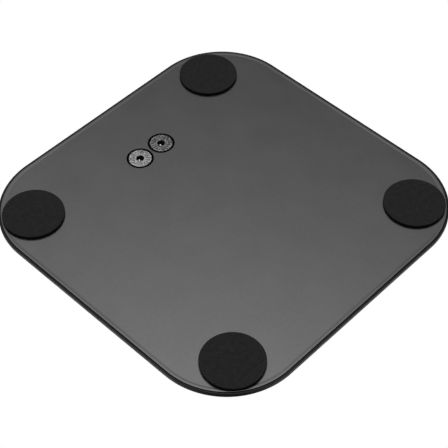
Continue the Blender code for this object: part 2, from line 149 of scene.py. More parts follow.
# Screw cap
DISC_GAP = 0.0003
DISC_SEAT_RADIUS = 0.0020
CAP_CHAMFER = 0.0001
CAP_EDGE_RADIUS = 0.0002
CAP_RIM_HEIGHT = 0.0004
THREAD_PITCH = 0.0015
THREAD_DEPTH = 0.0003
THREAD_ROWS = 18
THREAD_LEAD_IN = 6.0
THREAD_MARGINS = (0.0005, 0.0002)

# Coin cell; COIN_TOP runs from the crimp over the seal groove to the cap, as (inset, drop) pairs
CAN_LOW_RADIUS = 0.0005
CAN_CRIMP_RADIUS = 0.0004
CAN_CRIMP_DROP = 0.0003
COIN_DISH_RADIUS = 0.0060
COIN_DISH_WALL = 0.0002
COIN_DISH_DEPTH = 0.00006
COIN_TOP = (
    (0.0009, 0.00035),
    (0.0010, 0.0006),
    (0.0013, 0.0006),
    (0.0014, 0.0002),
    (0.0017, 0.0),
)

# Display
WINDOW_HALF_X = 0.0275
WINDOW_HALF_Y = 0.0095
WINDOW_CORNER_RADIUS = 0.0012
FILM_INSET = 0.001
FILM_CORNER_RADIUS = 0.0005
FILM_THICKNESS = 0.0001
INK_THICKNESS = 0.00003
DIGITS = 4
FIRST_LIT_DIGIT = 2
DIGIT_HEIGHT = 0.0140
DIGIT_WIDTH = 0.0074
DIGIT_PITCH = 0.0125
SEGMENT_WIDTH = 0.0023
SEGMENT_GAP_SHARE = 0.15
DOT_RADIUS = SEGMENT_WIDTH * 0.55
DIGIT_LEAN = 0.10
SEGMENT_SIDES = {
    "top": ((-1, 1), (1, 1)),
    "middle": ((-1, 0), (1, 0)),
    "bottom": ((-1, -1), (1, -1)),
    "upper_left": ((-1, 0), (-1, 1)),
    "upper_right": ((1, 0), (1, 1)),
    "lower_left": ((-1, -1), (-1, 0)),
    "lower_right": ((1, -1), (1, 0)),
}

# Mesh detail
ROUND_STEPS = 96
SMOOTH_ANGLE = math.radians(32)
SOFT_EDGE = 0.00008
WELD_DISTANCE = 1e-6


# ---------------------------------------------------------------- places read from the frame


def centre_of(node):
    low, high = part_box(node)
    return (low + high) / 2


def radius_of(node):
    low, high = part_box(node)
    return (high.x - low.x) / 2


pan_low, pan_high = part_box("base_pan")
glass_low, glass_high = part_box("platform_glass")
frame_low, frame_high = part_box("mid_frame")
HALF_SIDE = frame_high.x
UNDERSIDE = pan_low.z
PAN_INSET = HALF_SIDE - pan_high.x
PAN_FLOOR = UNDERSIDE + SHEET
GLASS_INSET = HALF_SIDE - glass_high.x
RAIL_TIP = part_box("load_cell_front_left")[1].z + GAP


# ---------------------------------------------------------------- mesh helpers


def rounded_rectangle(half_x, half_y, radius, steps=CORNER_STEPS, centre=(0.0, 0.0)):
    """An outline of four arcs, anticlockwise from the end of the right side."""
    points = []
    for quarter, (side_x, side_y) in enumerate(((1, 1), (-1, 1), (-1, -1), (1, -1))):
        for step in range(steps + 1):
            angle = math.radians(90) * (quarter + step / steps)
            x = centre[0] + side_x * (half_x - radius) + radius * math.cos(angle)
            y = centre[1] + side_y * (half_y - radius) + radius * math.sin(angle)
            points.append((x, y))
    return points


def body_outline(inset):
    """The scale's own outline, drawn in by an inset."""
    half = HALF_SIDE - inset
    return rounded_rectangle(half, half, CORNER_RADIUS - inset)


def circle(radius, centre=(0.0, 0.0), steps=ROUND_STEPS):
    angles = [2 * math.pi * i / steps for i in range(steps)]
    return [(centre[0] + radius * math.cos(a), centre[1] + radius * math.sin(a)) for a in angles]


def fillet(start, corner, end, steps):
    """Points along the rounding of a profile's corner, from start to end, which lie on its two sides."""
    points = []
    for step in range(steps + 1):
        angle = math.radians(90) * step / steps
        leave = 1 - math.sin(angle)
        arrive = 1 - math.cos(angle)
        points.append(tuple(c + (s - c) * leave + (e - c) * arrive for s, c, e in zip(start, corner, end)))
    return points


def loop(shape, outline, z):
    return [shape.verts.new((x, y, z)) for x, y in outline]


def bridge(shape, lower, upper):
    """Walls between two loops of the same length."""
    for i, corner in enumerate(lower):
        after = (i + 1) % len(lower)
        shape.faces.new((corner, lower[after], upper[after], upper[i]))


def bridge_all(shape, loops):
    for lower, upper in zip(loops, loops[1:]):
        bridge(shape, lower, upper)


def fill(shape, *loops):
    """Closes the flat area inside the first loop and outside the others."""
    edges = []
    for ring in loops:
        for i, corner in enumerate(ring):
            pair = (corner, ring[(i + 1) % len(ring)])
            edges.append(shape.edges.get(pair) or shape.edges.new(pair))
    bmesh.ops.triangle_fill(shape, edges=edges, use_beauty=True)


def piece(name, shape, material, body=ROOT, stands_for=()):
    """Turns a bmesh into a smooth piece that rides on a body."""
    bmesh.ops.recalc_face_normals(shape, faces=shape.faces)
    mesh = bpy.data.meshes.new(name)
    shape.to_mesh(mesh)
    shape.free()
    mesh.shade_smooth()
    mesh.set_sharp_from_angle(angle=SMOOTH_ANGLE)
    mesh.materials.append(material)
    obj = bpy.data.objects.new(name, mesh)
    bpy.context.scene.collection.objects.link(obj)
    weighted = obj.modifiers.new("weighted_normals", "WEIGHTED_NORMAL")
    weighted.keep_sharp = True
    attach(obj, body)
    if stands_for:
        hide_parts(*stands_for)
    return obj


# ---------------------------------------------------------------- material helpers


class Surface:
    """A Principled material and the node links that shape it."""

    def __init__(self, name, colour, roughness, metallic=0.0, **sockets):
        self.material = bpy.data.materials.new(name)
        self.material.use_nodes = True
        self.nodes = self.material.node_tree.nodes
        self.links = self.material.node_tree.links
        self.shader = self.nodes["Principled BSDF"]
        self.base = colour
        self.set("Base Color", (*colour, 1.0))
        self.set("Roughness", roughness)
        self.set("Metallic", metallic)
        for socket, value in sockets.items():
            self.set(socket.replace("_", " "), value)
        self.place = self.add("ShaderNodeTexCoord").outputs["Object"]

    def set(self, socket, value):
        self.shader.inputs[socket].default_value = value

    def add(self, kind, **settings):
        node = self.nodes.new(kind)
        for setting, value in settings.items():
            setattr(node, setting, value)
        return node

    def link(self, source, target):
        self.links.new(source, target)

    def math(self, operation, first, second=None):
        node = self.add("ShaderNodeMath", operation=operation)
        for socket, value in zip(node.inputs, (first, second)):
            if isinstance(value, (int, float)):
                socket.default_value = value
            elif value is not None:
                self.link(value, socket)
        return node.outputs[0]

    def noise(self, size, detail=3.0, stretch=(1.0, 1.0, 1.0), place=None):
        """Noise whose features are about size metres across, from 0 to 1."""
        mapping = self.add("ShaderNodeMapping")
        mapping.inputs["Scale"].default_value = stretch
        self.link(place or self.place, mapping.inputs["Vector"])
        node = self.add("ShaderNodeTexNoise")
        node.inputs["Scale"].default_value = 1 / size
        node.inputs["Detail"].default_value = detail
        self.link(mapping.outputs[0], node.inputs["Vector"])
        return node.outputs["Fac"]

    def spread(self, value, low, high, from_low=0.3, from_high=0.7):
        """Maps a value's middle stretch to low..high."""
        node = self.add("ShaderNodeMapRange")
        self.link(value, node.inputs["Value"])
        for socket, number in zip(node.inputs[1:5], (from_low, from_high, low, high)):
            socket.default_value = number
        return node.outputs["Result"]

    def mix(self, share, first, second):
        """A colour between two, as colours or sockets, by a share from 0 to 1."""
        node = self.add("ShaderNodeMix", data_type="RGBA")
        self.link(share, node.inputs["Factor"])
        for socket, value in ((node.inputs[6], first), (node.inputs[7], second)):
            if isinstance(value, (tuple, list)):
                socket.default_value = (*value, 1.0)
            else:
                self.link(value, socket)
        return node.outputs[2]

    def mean(self, first, second):
        return self.math("MULTIPLY", self.math("ADD", first, second), 0.5)

    def tone(self, share, dark, light):
        """The base colour between two brightnesses of itself."""
        darker = [c * dark for c in self.base]
        lighter = [min(1.0, c * light) for c in self.base]
        return self.mix(share, darker, lighter)

    def edges(self, width, low=0.02, high=0.25):
        """1 along convex and concave edges, 0 on flat stretches."""
        bevel = self.add("ShaderNodeBevel", samples=4)
        bevel.inputs["Radius"].default_value = width
        normal = self.add("ShaderNodeNewGeometry").outputs["Normal"]
        dot = self.add("ShaderNodeVectorMath", operation="DOT_PRODUCT")
        self.link(bevel.outputs[0], dot.inputs[0])
        self.link(normal, dot.inputs[1])
        turned = self.math("SUBTRACT", 1.0, dot.outputs["Value"])
        return self.spread(turned, 0.0, 1.0, from_low=low, from_high=high)

    def colour(self, value):
        self.link(value, self.shader.inputs["Base Color"])

    def roughness(self, value):
        self.link(value, self.shader.inputs["Roughness"])

    def bump(self, *layers):
        """Stacks (height, depth in metres) layers into the shader's normal."""
        normal = None
        for height, depth in layers:
            node = self.add("ShaderNodeBump")
            node.inputs["Strength"].default_value = 1.0
            node.inputs["Distance"].default_value = depth
            self.link(height, node.inputs["Height"])
            if normal:
                self.link(normal, node.inputs["Normal"])
            normal = node.outputs[0]
        self.link(normal, self.shader.inputs["Normal"])


def coated_steel():
    """Dark satin metallic coat, with its fine orange peel, cloudy tone and rubbed edges."""
    made = Surface("coated_steel", (0.110, 0.110, 0.110), roughness=0.30, metallic=1.0)
    cloud = made.noise(size=0.030, detail=4.0)
    patches = made.noise(size=0.0028, detail=3.0)
    speck = made.noise(size=0.0011, detail=2.0)
    toned = made.tone(made.spread(made.mean(cloud, patches), 0.0, 1.0), dark=0.93, light=1.07)
    worn = made.math("MULTIPLY", made.edges(width=0.0004), made.spread(made.noise(size=0.004), 0.0, 0.5))
    bare_metal = (0.20, 0.20, 0.20)
    made.colour(made.mix(worn, toned, bare_metal))
    made.roughness(made.spread(made.mean(cloud, speck), 0.275, 0.325))
    orange_peel = made.noise(size=0.0009, detail=2.0)
    grit = made.noise(size=0.00025, detail=1.0)
    made.bump((orange_peel, 0.000002), (grit, 0.000001))
    return made.material


def pad_rubber():
    """Matt black rubber with a fine even grain and a little dust in it."""
    made = Surface("pad_rubber", (0.015, 0.015, 0.015), roughness=0.85, Specular_IOR_Level=0.25)
    grain = made.noise(size=0.0010, detail=3.0)
    cloud = made.noise(size=0.0045, detail=4.0)
    mottle = made.spread(made.mean(grain, cloud), 0.0, 1.0, from_low=0.38, from_high=0.62)
    made.colour(made.tone(mottle, dark=0.45, light=1.65))
    made.roughness(made.spread(cloud, 0.74, 0.94))
    dust = made.noise(size=0.00035, detail=2.0)
    made.bump((cloud, 0.00005), (grain, 0.00008), (dust, 0.00003))
    return made.material


def plain(name, colour, roughness, metallic=0.0, grain=0.0004, depth=0.000004, **sockets):
    """A moulded or machined finish: cloudy tone, uneven gloss, fine grain and brighter worn edges."""
    made = Surface(name, colour, roughness, metallic, **sockets)
    cloud = made.noise(size=0.008, detail=3.0)
    toned = made.tone(made.spread(cloud, 0.0, 1.0), dark=0.9, light=1.1)
    worn = made.math("MULTIPLY", made.edges(width=0.0003), made.spread(made.noise(size=0.002), 0.0, 0.4))
    lighter = [min(1.0, c * 1.5 + 0.003) for c in colour]
    made.colour(made.mix(worn, toned, lighter))
    uneven = 0.06
    made.roughness(made.spread(cloud, max(0.02, roughness - uneven), min(1.0, roughness + uneven)))
    made.bump((made.noise(size=grain, detail=2.0), depth))
    return made.material


def spun_metal(name, colour, roughness, mottle):
    """Turned metal: fine rings round each battery port's axis, over a patchy oxide."""
    made = Surface(name, colour, roughness, metallic=1.0)
    split = made.add("ShaderNodeSeparateXYZ")
    made.link(made.place, split.inputs[0])
    port = centre_of("battery_cap_right")
    across = made.math("SUBTRACT", made.math("ABSOLUTE", split.outputs["X"]), port.x)
    along = made.math("SUBTRACT", split.outputs["Y"], port.y)
    squares = [made.math("POWER", leg, 2.0) for leg in (across, along)]
    reach = made.math("POWER", made.math("ADD", *squares), 0.5)
    rings = made.add("ShaderNodeTexNoise", noise_dimensions="1D")
    rings.inputs["Scale"].default_value = 9000.0
    made.link(reach, rings.inputs["W"])
    lathe = rings.outputs["Fac"]
    patches = made.noise(size=0.0011, detail=2.0)
    oxide = made.spread(patches, 0.0, 1.0, from_low=0.4, from_high=0.6)
    toned = made.tone(oxide, dark=1.0 - mottle, light=1.0 + mottle)
    worn = made.math("MULTIPLY", made.edges(width=0.00012), 0.5)
    made.colour(made.mix(worn, toned, [min(1.0, c * 1.5) for c in colour]))
    made.roughness(made.spread(made.mean(lathe, patches), roughness - 0.07, roughness + 0.09))
    grit = made.noise(size=0.0003)
    made.bump((lathe, 0.000004), (grit, 0.000004))
    return made.material


def clear_glass():
    """Clear tempered glass, faintly smeared, that lets lamps through to what is under it."""
    made = Surface("clear_glass", (0.93, 0.97, 0.955), roughness=0.01, Transmission_Weight=1.0, IOR=1.52)
    smear = made.noise(size=0.05, detail=4.0)
    made.roughness(made.spread(smear, 0.0, 0.025))
    roller_wave = made.noise(size=0.09, detail=1.0)
    made.bump((roller_wave, 0.00002))
    through = made.add("ShaderNodeBsdfTransparent")
    through.inputs["Color"].default_value = (0.9, 0.93, 0.92, 1.0)
    choose = made.add("ShaderNodeMixShader")
    made.link(made.add("ShaderNodeLightPath").outputs["Is Shadow Ray"], choose.inputs["Fac"])
    made.link(made.shader.outputs[0], choose.inputs[1])
    made.link(through.outputs[0], choose.inputs[2])
    made.link(choose.outputs[0], made.nodes["Material Output"].inputs["Surface"])
    return made.material


def circuit_board():
    """Green solder mask over a lattice of tracks and pads."""
    made = Surface("circuit_board", (0.015, 0.11, 0.045), roughness=0.38, Specular_IOR_Level=0.6)
    tracks = made.add("ShaderNodeTexBrick", offset=0.35, squash=0.6)
    tracks.inputs["Scale"].default_value = 420.0
    tracks.inputs["Mortar Size"].default_value = 0.06
    tracks.inputs["Mortar Smooth"].default_value = 0.2
    made.link(made.place, tracks.inputs["Vector"])
    copper = made.math("MULTIPLY", tracks.outputs["Fac"], made.spread(made.noise(size=0.006), 0.2, 1.0))
    weave = made.noise(size=0.0007, detail=2.0)
    toned = made.tone(weave, dark=0.85, light=1.15)
    mask_over_copper = (0.045, 0.24, 0.10)
    made.colour(made.mix(copper, toned, mask_over_copper))
    made.roughness(made.spread(weave, 0.32, 0.44))
    made.bump((tracks.outputs["Fac"], 0.00004), (weave, 0.000005))
    return made.material


def display_layer(name, colour, roughness):
    """Display film: even tone with a very fine cell pattern."""
    made = Surface(name, colour, roughness, Specular_IOR_Level=0.4)
    cells = made.add("ShaderNodeTexVoronoi")
    cells.inputs["Scale"].default_value = 5000.0
    made.link(made.place, cells.inputs["Vector"])
    made.colour(made.tone(cells.outputs["Distance"], dark=0.92, light=1.06))
    made.roughness(made.spread(made.noise(size=0.004), roughness - 0.04, roughness + 0.04))
    made.bump((cells.outputs["Distance"], 0.000002))
    return made.material


def finishes():
    """One procedural material for each material slot of the record."""
    frame_colour = (0.012, 0.012, 0.012)
    # Cap plastic: black plastic, made darker still and almost unreflecting as painted shade on the hexagon
    # socket floors and the rings round the discs
    cap_black_and_painted_shade = (0.0012, 0.0012, 0.0012)
    return {
        "pan_steel": coated_steel(),
        "frame_plastic": plain("frame_plastic", frame_colour, 0.40, depth=0.000006, Specular_IOR_Level=0.16),
        "platform_glass": clear_glass(),
        "foam_tape": plain("foam_tape", (0.03, 0.03, 0.03), 0.95, grain=0.0005, depth=0.00008),
        "pad_rubber": pad_rubber(),
        "bright_steel": plain("bright_steel", (0.42, 0.42, 0.41), 0.32, 1.0),
        "insert_steel": spun_metal("insert_steel", (0.315, 0.315, 0.315), 0.34, 0.55),
        "spring_steel": plain("spring_steel", (0.50, 0.51, 0.52), 0.34, 1.0, grain=0.0002),
        "sealant": plain("sealant", (0.78, 0.78, 0.76), 0.45, grain=0.0015, depth=0.00006),
        "grey_plastic": plain("grey_plastic", (0.27, 0.28, 0.29), 0.52, depth=0.00001),
        "lead_sheath": plain("lead_sheath", (0.48, 0.49, 0.50), 0.42, grain=0.0006),
        "board_laminate": circuit_board(),
        "chip_epoxy": plain("chip_epoxy", (0.008, 0.008, 0.008), 0.28, grain=0.0012, depth=0.00002),
        "chip_plastic": plain("chip_plastic", (0.016, 0.016, 0.016), 0.5, grain=0.0002, depth=0.000006),
        "can_metal": plain("can_metal", (0.66, 0.66, 0.64), 0.24, 1.0, grain=0.0003),
        "ferrite": plain("ferrite", (0.05, 0.048, 0.045), 0.7, grain=0.0003, depth=0.00002),
        "socket_plastic": plain("socket_plastic", (0.76, 0.73, 0.64), 0.48),
        "display_glass": plain("display_glass", (0.30, 0.34, 0.30), 0.08, Specular_IOR_Level=0.6),
        "diffuser": plain("diffuser", (0.82, 0.83, 0.85), 0.45),
        "elastomer": plain("elastomer", (0.50, 0.26, 0.28), 0.65),
        # Caps: black plastic, partly painted shade in the sockets and round the discs
        "black_plastic": plain("black_plastic", cap_black_and_painted_shade, 0.7, depth=0.000008, Specular_IOR_Level=0.03),
        "cell_steel": plain("cell_steel", (0.62, 0.62, 0.61), 0.24, 1.0, grain=0.0002),
        "seal_rubber": plain("seal_rubber", (0.015, 0.015, 0.015), 0.6, grain=0.0003, depth=0.00001),
        "contact_metal": plain("contact_metal", (0.75, 0.62, 0.38), 0.28, 1.0, grain=0.0002),
    }


# ---------------------------------------------------------------- outer pieces


def make_pan(material):
    """The steel pan: a flat underside with a folded edge, six round openings and a thin upright wall."""
    shape = bmesh.new()
    bead = UNDERSIDE - BEAD_DEPTH
    rim = pan_high.z
    rim_side = rim - SHEET_RIM_CHAMFER
    inside = PAN_INSET + SHEET
    profile = []
    for step in range(BEAD_STEPS + 1):
        share = step / BEAD_STEPS
        eased = share * share * (3 - 2 * share)
        inset = PAN_INSET + BEAD_FLAT + BEAD_WIDTH * (1 - share)
        profile.append((inset, UNDERSIDE - BEAD_DEPTH * eased))
    profile += fillet(
        (PAN_INSET + PAN_EDGE_RADIUS, bead),
        (PAN_INSET, bead),
        (PAN_INSET, bead + PAN_EDGE_RADIUS),
        steps=6,
    )
    profile += [(PAN_INSET, rim_side), (PAN_INSET + SHEET_RIM_CHAMFER, rim)]
    profile += [(inside - SHEET_RIM_CHAMFER, rim), (inside, rim_side)]
    profile += [(inside, PAN_FLOOR + PAN_EDGE_RADIUS), (inside + PAN_EDGE_RADIUS, PAN_FLOOR)]
    rings = [loop(shape, body_outline(inset), z) for inset, z in profile]
    bridge_all(shape, rings)
    holes = [(centre_of(f"foot_stud_{c}"), STUD_HOLE_RADIUS) for c in CORNERS]
    holes += [(centre_of(f"battery_cap_{s}"), PORT_RADIUS) for s in SIDES]
    below = []
    above = []
    for centre, radius in holes:
        side = fillet(
            (radius + HOLE_LIP, UNDERSIDE),
            (radius, UNDERSIDE),
            (radius, UNDERSIDE + HOLE_LIP),
            steps=4,
        )
        side.append((radius, PAN_FLOOR))
        sides = [loop(shape, circle(r, (centre.x, centre.y)), z) for r, z in side]
        bridge_all(shape, sides)
        below.append(sides[0])
        above.append(sides[-1])
    fill(shape, rings[0], *below)
    fill(shape, rings[-1], *above)
    piece("pan_shell", shape, material, stands_for=["base_pan"])


def make_pad(corner, material):
    """A rubber pad: a flat disc with a rounded tread edge and a pocket above for its stud's flange."""
    name = f"foot_pad_{corner}"
    low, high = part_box(name)
    centre = centre_of(name)
    stud = centre_of(f"foot_stud_{corner}")
    radius = radius_of(name)
    top = high.z - BEAD_CLEARANCE
    shape = bmesh.new()
    profile = fillet(
        (radius - PAD_ROUND, low.z), (radius, low.z), (radius, low.z + PAD_ROUND), steps=6
    )
    profile += [(radius, top - PAD_TOP_CHAMFER), (radius - PAD_TOP_CHAMFER, top)]
    around = (centre.x, centre.y)
    rings = [loop(shape, circle(r, around), z) for r, z in profile]
    bridge_all(shape, rings)
    pocket = [loop(shape, circle(POCKET_RADIUS, (stud.x, stud.y)), z) for z in (top, POCKET_FLOOR)]
    bridge_all(shape, pocket)
    fill(shape, rings[0])
    fill(shape, rings[-1], pocket[0])
    fill(shape, pocket[1])
    piece(f"rubber_pad_{corner}", shape, material, f"{corner}_foot", [name])


def make_edge_frame(material):
    """The plastic frame: a skirt round the pan, a sloping shoulder up to the glass, and a web with rails."""
    top = frame_high.z
    web_bottom = top - WEB_THICKNESS
    low = frame_low.z
    profile = [(SKIRT_WALL, web_bottom)]
    profile += [(SKIRT_WALL, low + SKIRT_INNER_CHAMFER), (SKIRT_WALL - SKIRT_INNER_CHAMFER, low)]
    profile += fillet((SKIRT_EDGE_RADIUS, low), (0.0, low), (0.0, low + SKIRT_EDGE_RADIUS), steps=5)
    profile += fillet(
        (0.0, SKIRT_TOP - SKIRT_TOP_RADIUS),
        (0.0, SKIRT_TOP),
        (SKIRT_TOP_RADIUS, SKIRT_TOP + SKIRT_TOP_RADIUS * SHOULDER_SLOPE),
        steps=5,
    )
    profile += fillet(
        (SHOULDER_INSET - SHOULDER_RADIUS, top - SHOULDER_RADIUS * SHOULDER_SLOPE),
        (SHOULDER_INSET, top),
        (SHOULDER_INSET + SHOULDER_RADIUS, top),
        steps=4,
    )
    shape = bmesh.new()
    rings = [loop(shape, body_outline(inset), z) for inset, z in profile]
    bridge_all(shape, rings)
    bay = rounded_rectangle(BAY_HALF_X, BAY_HALF_Y, BAY_CORNER_RADIUS, steps=8, centre=BAY_CENTRE)
    bay_loops = [loop(shape, bay, z) for z in (web_bottom, top)]
    bridge_all(shape, bay_loops)
    rails = []
    for corner in CORNERS:
        cell = centre_of(f"load_cell_{corner}")
        for side in (-1, 1):
            middle = (cell.x + side * RAIL_OFFSET, cell.y)
            outline = rounded_rectangle(RAIL_HALF_X, RAIL_HALF_Y, RAIL_CORNER_RADIUS, steps=3, centre=middle)
            root, tip = (loop(shape, outline, z) for z in (web_bottom, RAIL_TIP))
            bridge(shape, root, tip)
            fill(shape, tip)
            rails.append(root)
    fill(shape, rings[0], bay_loops[0], *rails)
    fill(shape, rings[-1], bay_loops[1])
    piece("edge_frame", shape, material, stands_for=["mid_frame"])


def make_glass(material):
    """The platform: a plate of glass with ground edges, the upper one rounder."""
    top = glass_high.z
    bottom = glass_low.z
    low_edge = fillet(
        (GLASS_INSET + GLASS_LOW_RADIUS, bottom),
        (GLASS_INSET, bottom),
        (GLASS_INSET, bottom + GLASS_LOW_RADIUS),
        steps=5,
    )
    high_edge = fillet(
        (GLASS_INSET, top - GLASS_HIGH_RADIUS),
        (GLASS_INSET, top),
        (GLASS_INSET + GLASS_HIGH_RADIUS, top),
        steps=8,
    )
    shape = bmesh.new()
    rings = [loop(shape, body_outline(inset), z) for inset, z in (*low_edge, *high_edge)]
    bridge_all(shape, rings)
    fill(shape, rings[0])
    fill(shape, rings[-1])
    piece("glass_plate", shape, material, stands_for=["platform_glass"])


def make_back_print(material):
    """The black enamel on the back of the glass, with the display's window left open."""
    display = centre_of("lcd_panel")
    middle = (display.x, display.y)
    window = rounded_rectangle(WINDOW_HALF_X, WINDOW_HALF_Y, WINDOW_CORNER_RADIUS, steps=6, centre=middle)
    top = glass_low.z - PRINT_GAP
    bottom = top - PRINT_THICKNESS
    shape = bmesh.new()
    outer = [loop(shape, body_outline(GLASS_INSET + PRINT_MARGIN), z) for z in (bottom, top)]
    inner = [loop(shape, window, z) for z in (bottom, top)]
    bridge_all(shape, outer)
    bridge_all(shape, inner)
    for outside, inside in zip(outer, inner):
        fill(shape, outside, inside)
    piece("back_print", shape, material)


def polar_loop(shape, reach, z, around, steps=ROUND_STEPS):
    """A loop about an axis; reach and z may be numbers or functions of the angle."""
    verts = []
    for i in range(steps):
        angle = 2 * math.pi * i / steps
        r = reach(angle) if callable(reach) else reach
        height = z(angle) if callable(z) else z
        place = (around.x + r * math.cos(angle), around.y + r * math.sin(angle), height)
        verts.append(shape.verts.new(place))
    return verts


def hexagon(apothem):
    """Distance from the middle to a hexagon's side, as a function of the angle."""
    sixth = math.pi / 3
    return lambda angle: apothem / math.cos((angle + sixth / 2) % sixth - sixth / 2)


def make_insert(side, body, material):
    """The metal disc in a battery cap: a hexagon socket with a broken edge, a groove and a ring of slots."""
    node = f"cap_insert_{side}"
    low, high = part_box(node)
    around = centre_of(node)
    radius = radius_of(node)
    face = low.z
    groove = face + GROOVE_DEPTH

    def slotted(angle):
        share = (angle * SLOTS / (2 * math.pi)) % 1.0
        return face + SLOT_DEPTH if share < SLOT_SHARE else face

    profile = [
        (hexagon(HEX_APOTHEM), high.z),
        (hexagon(HEX_APOTHEM), face + HEX_CHAMFER),
        (hexagon(HEX_APOTHEM + HEX_CHAMFER), face),
    ]
    for (inner, outer), bottom in ((GROOVE_RADII, groove), (SLOT_RADII, slotted)):
        profile += [(inner - DISC_WALL, face), (inner, bottom), (outer, bottom), (outer + DISC_WALL, face)]
    profile += [
        (radius - DISC_EDGE, face),
        (radius - DISC_EDGE_MIDDLE, face + DISC_EDGE_MIDDLE),
        (radius, face + DISC_EDGE),
        (radius, high.z),
    ]
    shape = bmesh.new()
    rings = [polar_loop(shape, reach, z, around, steps=8 * SLOTS) for reach, z in profile]
    bridge_all(shape, rings)
    bridge(shape, rings[-1], rings[0])
    piece(f"socket_disc_{side}", shape, material, body, [node])


def make_cap(side, body, material):
    """A screw cap: a rounded rim, a pocket for the metal disc and a thread round its outside."""
    node = f"battery_cap_{side}"
    low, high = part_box(node)
    around = centre_of(node)
    radius = radius_of(node)
    pocket = radius_of(f"cap_insert_{side}") + DISC_GAP
    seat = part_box(f"cap_insert_{side}")[1].z + DISC_GAP
    shape = bmesh.new()
    profile = [(DISC_SEAT_RADIUS, seat), (pocket - CAP_CHAMFER, seat), (pocket, seat - CAP_CHAMFER)]
    profile += [(pocket, low.z + CAP_CHAMFER), (pocket + CAP_CHAMFER, low.z)]
    profile += fillet(
        (radius - CAP_EDGE_RADIUS, low.z), (radius, low.z), (radius, low.z + CAP_EDGE_RADIUS), steps=4
    )
    profile.append((radius, low.z + CAP_RIM_HEIGHT))
    rings = [polar_loop(shape, reach, z, around) for reach, z in profile]
    thread_from = low.z + THREAD_MARGINS[0]
    thread_to = high.z - THREAD_MARGINS[1]
    for row in range(THREAD_ROWS + 1):
        share = row / THREAD_ROWS
        z = thread_from + (thread_to - thread_from) * share
        fade = min(1.0, THREAD_LEAD_IN * share, THREAD_LEAD_IN * (1 - share))

        def crest(angle, z=z, fade=fade):
            turn = (z - thread_from) / THREAD_PITCH - angle / (2 * math.pi)
            wave = 0.5 + 0.5 * math.cos(2 * math.pi * turn)
            return radius - THREAD_DEPTH + THREAD_DEPTH * fade * wave**2

        rings.append(polar_loop(shape, crest, z, around))
    rings.append(polar_loop(shape, radius - THREAD_DEPTH - CAP_CHAMFER, high.z, around))
    bridge_all(shape, rings)
    fill(shape, rings[0])
    fill(shape, rings[-1])
    piece(f"screw_cap_{side}", shape, material, body, [node])


def make_socket_rivet(side, body, material):
    """The small bright rivet head low in a cap's hexagon socket."""
    around = centre_of(f"cap_insert_{side}") + RIVET_OFFSET
    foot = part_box(f"cap_insert_{side}")[1].z + DISC_GAP
    head = foot - RIVET_HEIGHT
    profile = fillet((RIVET_RADIUS, foot), (RIVET_RADIUS, head), (RIVET_FLAT_RADIUS, head), steps=8)
    shape = bmesh.new()
    rings = [polar_loop(shape, reach, z, around, ROUND_STEPS // 3) for reach, z in profile]
    bridge_all(shape, rings)
    fill(shape, rings[0])
    fill(shape, rings[-1])
    piece(f"socket_rivet_{side}", shape, material, body)


def make_seal(side, body, material):
    """A flat rubber ring with rounded edges."""
    node = f"cap_gasket_{side}"
    low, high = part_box(node)
    around = centre_of(node)
    outer = radius_of(node)
    inner = radius_of(f"coin_cell_{side}") + GAP
    half_height = (high.z - low.z) / 2
    half_width = (outer - inner) / 2
    sides = 16
    shape = bmesh.new()
    rings = []
    for i in range(sides):
        angle = 2 * math.pi * i / sides
        across = math.copysign(abs(math.cos(angle)) ** 0.5, math.cos(angle)) * half_width
        up = math.copysign(abs(math.sin(angle)) ** 0.5, math.sin(angle)) * half_height
        rings.append(polar_loop(shape, inner + half_width + across, low.z + half_height + up, around))
    bridge_all(shape, rings)
    bridge(shape, rings[-1], rings[0])
    piece(f"seal_ring_{side}", shape, material, body, [node])


def make_coin(side, body, material):
    """A coin cell: the wide can below, the crimp, the seal groove and the smaller cap above."""
    node = f"coin_cell_{side}"
    low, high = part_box(node)
    around = centre_of(node)
    radius = radius_of(node)
    crimp = high.z - CAN_CRIMP_DROP
    shape = bmesh.new()
    profile = fillet(
        (radius - CAN_LOW_RADIUS, low.z), (radius, low.z), (radius, low.z + CAN_LOW_RADIUS), steps=5
    )
    profile += fillet(
        (radius, crimp - CAN_CRIMP_RADIUS), (radius, crimp), (radius - CAN_CRIMP_RADIUS, crimp), steps=4
    )
    profile += [(radius - inset, high.z - drop) for inset, drop in COIN_TOP]
    profile += [(COIN_DISH_RADIUS, high.z), (COIN_DISH_RADIUS - COIN_DISH_WALL, high.z - COIN_DISH_DEPTH)]
    rings = [polar_loop(shape, reach, z, around) for reach, z in profile]
    bridge_all(shape, rings)
    fill(shape, rings[0])
    fill(shape, rings[-1])
    piece(f"coin_battery_{side}", shape, material, body, [node])


def bar(shape, outline, bottom, top):
    """A small upright block of any outline, closed above and below."""
    lower, upper = (loop(shape, outline, z) for z in (bottom, top))
    bridge(shape, lower, upper)
    fill(shape, lower)
    fill(shape, upper)


def segment_outline(centre, ends):
    """A bar with pointed ends between two corners of a digit's leaning figure of eight."""
    half = Vector((DIGIT_WIDTH / 2, DIGIT_HEIGHT / 2))
    start, end = (Vector((x * half.x, y * half.y)) for x, y in ends)
    along = (end - start).normalized()
    aside = Vector((-along.y, along.x)) * SEGMENT_WIDTH / 2
    gap = along * SEGMENT_WIDTH * SEGMENT_GAP_SHARE
    point = along * SEGMENT_WIDTH / 2
    start += gap
    end -= gap
    near_side = [start, start + point - aside, end - point - aside]
    far_side = [end, end - point + aside, start + point + aside]
    return [(centre.x + p.x + DIGIT_LEAN * p.y, centre.y + p.y) for p in (*near_side, *far_side)]


